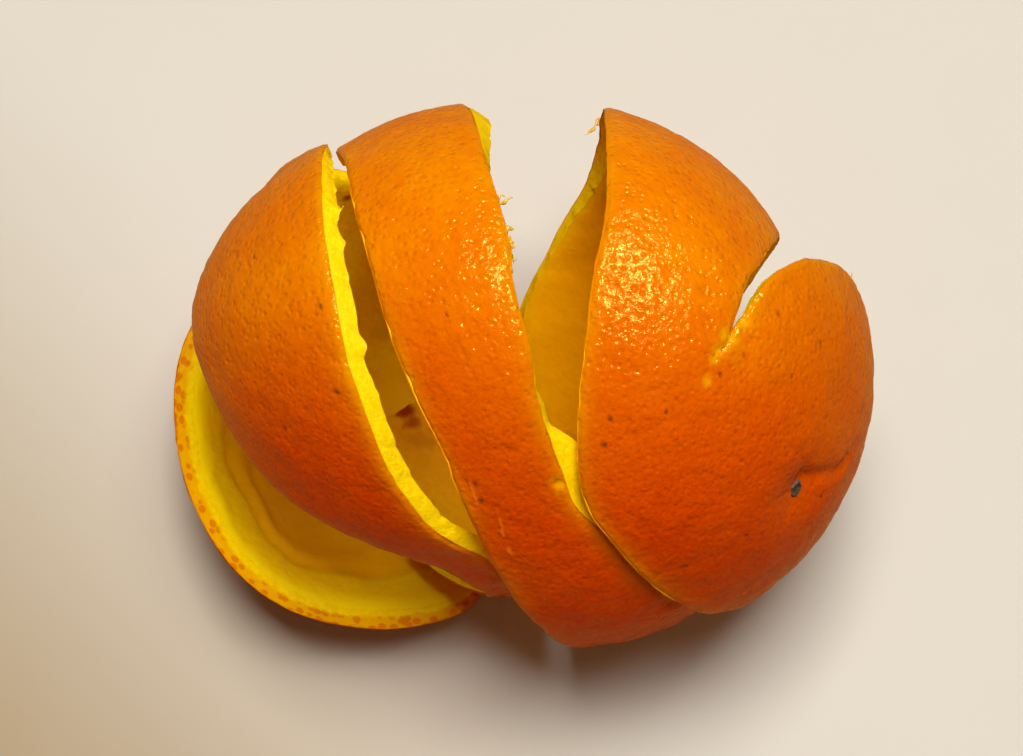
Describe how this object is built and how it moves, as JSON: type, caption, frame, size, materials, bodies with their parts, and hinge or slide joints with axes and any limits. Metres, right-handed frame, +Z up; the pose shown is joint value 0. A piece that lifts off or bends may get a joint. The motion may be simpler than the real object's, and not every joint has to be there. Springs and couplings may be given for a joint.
{
  "type": "orange peel",
  "caption": "Spiral-cut orange peel in one piece, lying on its side with its turns fanned open and the blossom end folded back like a bowl.",
  "frame": {"origin": "centre of the footprint, on the surface the peel lies on", "axes": "+X towards the stem end, along the longest extent; +Y towards the back, where the turns are open; +Z up"},
  "size_m": [0.1055, 0.0798, 0.0797],
  "materials": {
    "peel": "waxy pitted orange zest outside, matt yellow pith inside"
  },
  "bodies": {
    "root": {"orange_peel": "peel"}
  },
  "joints": []
}
